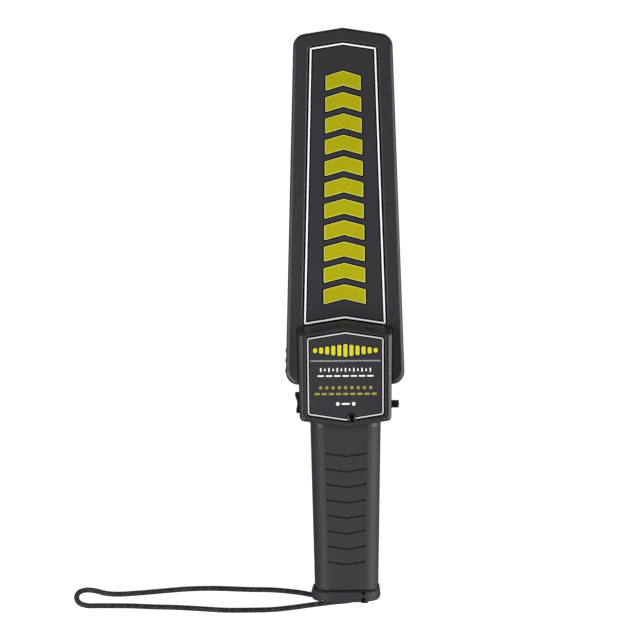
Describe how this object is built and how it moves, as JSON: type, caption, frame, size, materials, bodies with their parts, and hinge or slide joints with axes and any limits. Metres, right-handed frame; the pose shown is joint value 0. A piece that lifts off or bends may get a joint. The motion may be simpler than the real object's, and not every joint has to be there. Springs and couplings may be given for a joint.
{
  "type": "security metal detector wand",
  "caption": "Hand-held metal detector wand: flat tapering paddle, raised control box, grooved grip, end cap with sliding battery door, side rocker and button, wrist cord.",
  "frame": {"origin": "on the surface the wand lies on, under the middle of the body's box, the wrist cord left out", "axes": "+Y along the wand to the paddle's tip, +Z out of the printed front, +X to the right seen from the front"},
  "size_m": [0.2409, 0.4225, 0.0459],
  "materials": {
    "housing": "fine spark texture",
    "cap": "fine spark texture",
    "label": "satin printed film",
    "black_plastic": "moulded",
    "lens": "polished",
    "pale_plastic": "moulded",
    "laminate": "solder mask",
    "chip": "moulded epoxy",
    "coil_winding": "enamelled wire",
    "brass": "stamped",
    "steel": "zinc plated",
    "battery_case": "wrapped",
    "strap_cord": "braided",
    "red_lead": "insulated",
    "black_lead": "insulated"
  },
  "bodies": {
    "root": {"front_housing": "housing", "rear_housing": "housing", "paddle_label": "label", "panel_label": "label", "end_cap": "cap", "cap_screw": "steel", "battery": "battery_case", "battery_tray": "black_plastic", "contact_board": "laminate", "positive_contact": "brass", "negative_contact": "brass", "main_board": "laminate", "control_chip": "chip", "filter_capacitor_1": "chip", "filter_capacitor_2": "chip", "output_transistor": "chip", "coil_header": "pale_plastic", "power_header": "pale_plastic", "trimmer_body": "black_plastic", "coil_former": "pale_plastic", "transmit_coil": "coil_winding", "receive_coil": "coil_winding", "transmit_coil_lead": "red_lead", "receive_coil_lead": "black_lead", "sounder": "black_plastic", "sounder_lead": "black_lead", "vibration_motor": "steel", "motor_lead": "red_lead", "switch_body": "black_plastic", "button_body": "black_plastic", "indicator_lens": "lens", "status_led": "pale_plastic", "battery_lead_red": "red_lead", "battery_lead_black": "black_lead", "strap_cord": "strap_cord", "housing_screw_1": "steel", "housing_screw_2": "steel", "housing_screw_3": "steel", "housing_screw_4": "steel", "housing_screw_5": "steel", "housing_screw_6": "steel", "housing_screw_7": "steel", "board_screw_1": "steel", "board_screw_2": "steel", "board_screw_3": "steel", "board_screw_4": "steel", "former_screw_1": "steel", "former_screw_2": "steel"},
    "rocker": {"power_rocker": "black_plastic"},
    "button": {"sensitivity_button": "black_plastic"},
    "door": {"battery_door": "cap"},
    "eccentric": {"motor_shaft": "steel", "motor_weight": "brass"},
    "trimmer": {"trimmer_rotor": "brass"}
  },
  "joints": [
    {"name": "power_rocker_tilt", "type": "hinge", "parent": "root", "child": "rocker", "pos_m": [-0.03053, -0.0615, 0.027], "axis": [0, 0, 1], "range_deg": [-9, 9]},
    {"name": "button_press", "type": "slide", "parent": "root", "child": "button", "axis": [-1, 0, 0], "range_m": [0, 0.0015], "stiffness_N_per_m": 300, "springref_m": -0.0005},
    {"name": "battery_door_slide", "type": "slide", "parent": "root", "child": "door", "axis": [0, 0, 1], "range_m": [0, 0.03]},
    {"name": "vibration_spin", "type": "hinge", "parent": "root", "child": "eccentric", "pos_m": [0, -0.108, 0.018], "axis": [0, 1, 0], "continuous": true},
    {"name": "trimmer_turn", "type": "hinge", "parent": "root", "child": "trimmer", "pos_m": [0.004, -0.0269, 0.017], "axis": [0, 0, 1], "range_deg": [-130, 130]}
  ]
}
